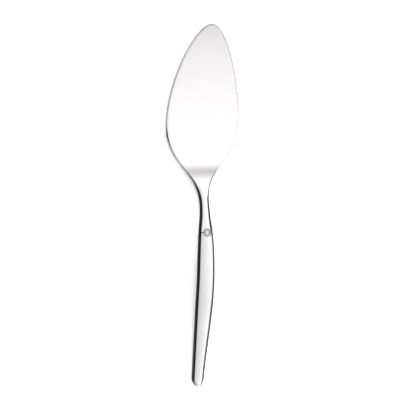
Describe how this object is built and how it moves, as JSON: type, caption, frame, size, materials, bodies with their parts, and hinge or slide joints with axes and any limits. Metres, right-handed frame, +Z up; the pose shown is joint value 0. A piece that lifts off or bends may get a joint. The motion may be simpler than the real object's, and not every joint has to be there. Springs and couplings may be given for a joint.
{
  "type": "cake server",
  "caption": "Cake server with a leaf-shaped swept-up blade, a cranked neck, a slim arched hollow handle and a plain round medallion at the seam.",
  "frame": {"origin": "midway along the length and across the width, on the surface that the server rests on", "axes": "+Y along the server towards the blade's tip, +X across the blade, +Z up from the resting surface"},
  "size_m": [0.0578, 0.25, 0.0129],
  "materials": {
    "blade_steel": "mirror polished stainless steel",
    "handle_steel": "mirror polished stainless steel",
    "medallion_steel": "polished ring round a satin face",
    "filler_resin": "cast resin cement"
  },
  "bodies": {
    "root": {"blade": "blade_steel", "handle_upper_shell": "handle_steel", "handle_lower_shell": "handle_steel", "handle_filler": "filler_resin", "medallion": "medallion_steel"}
  },
  "joints": []
}
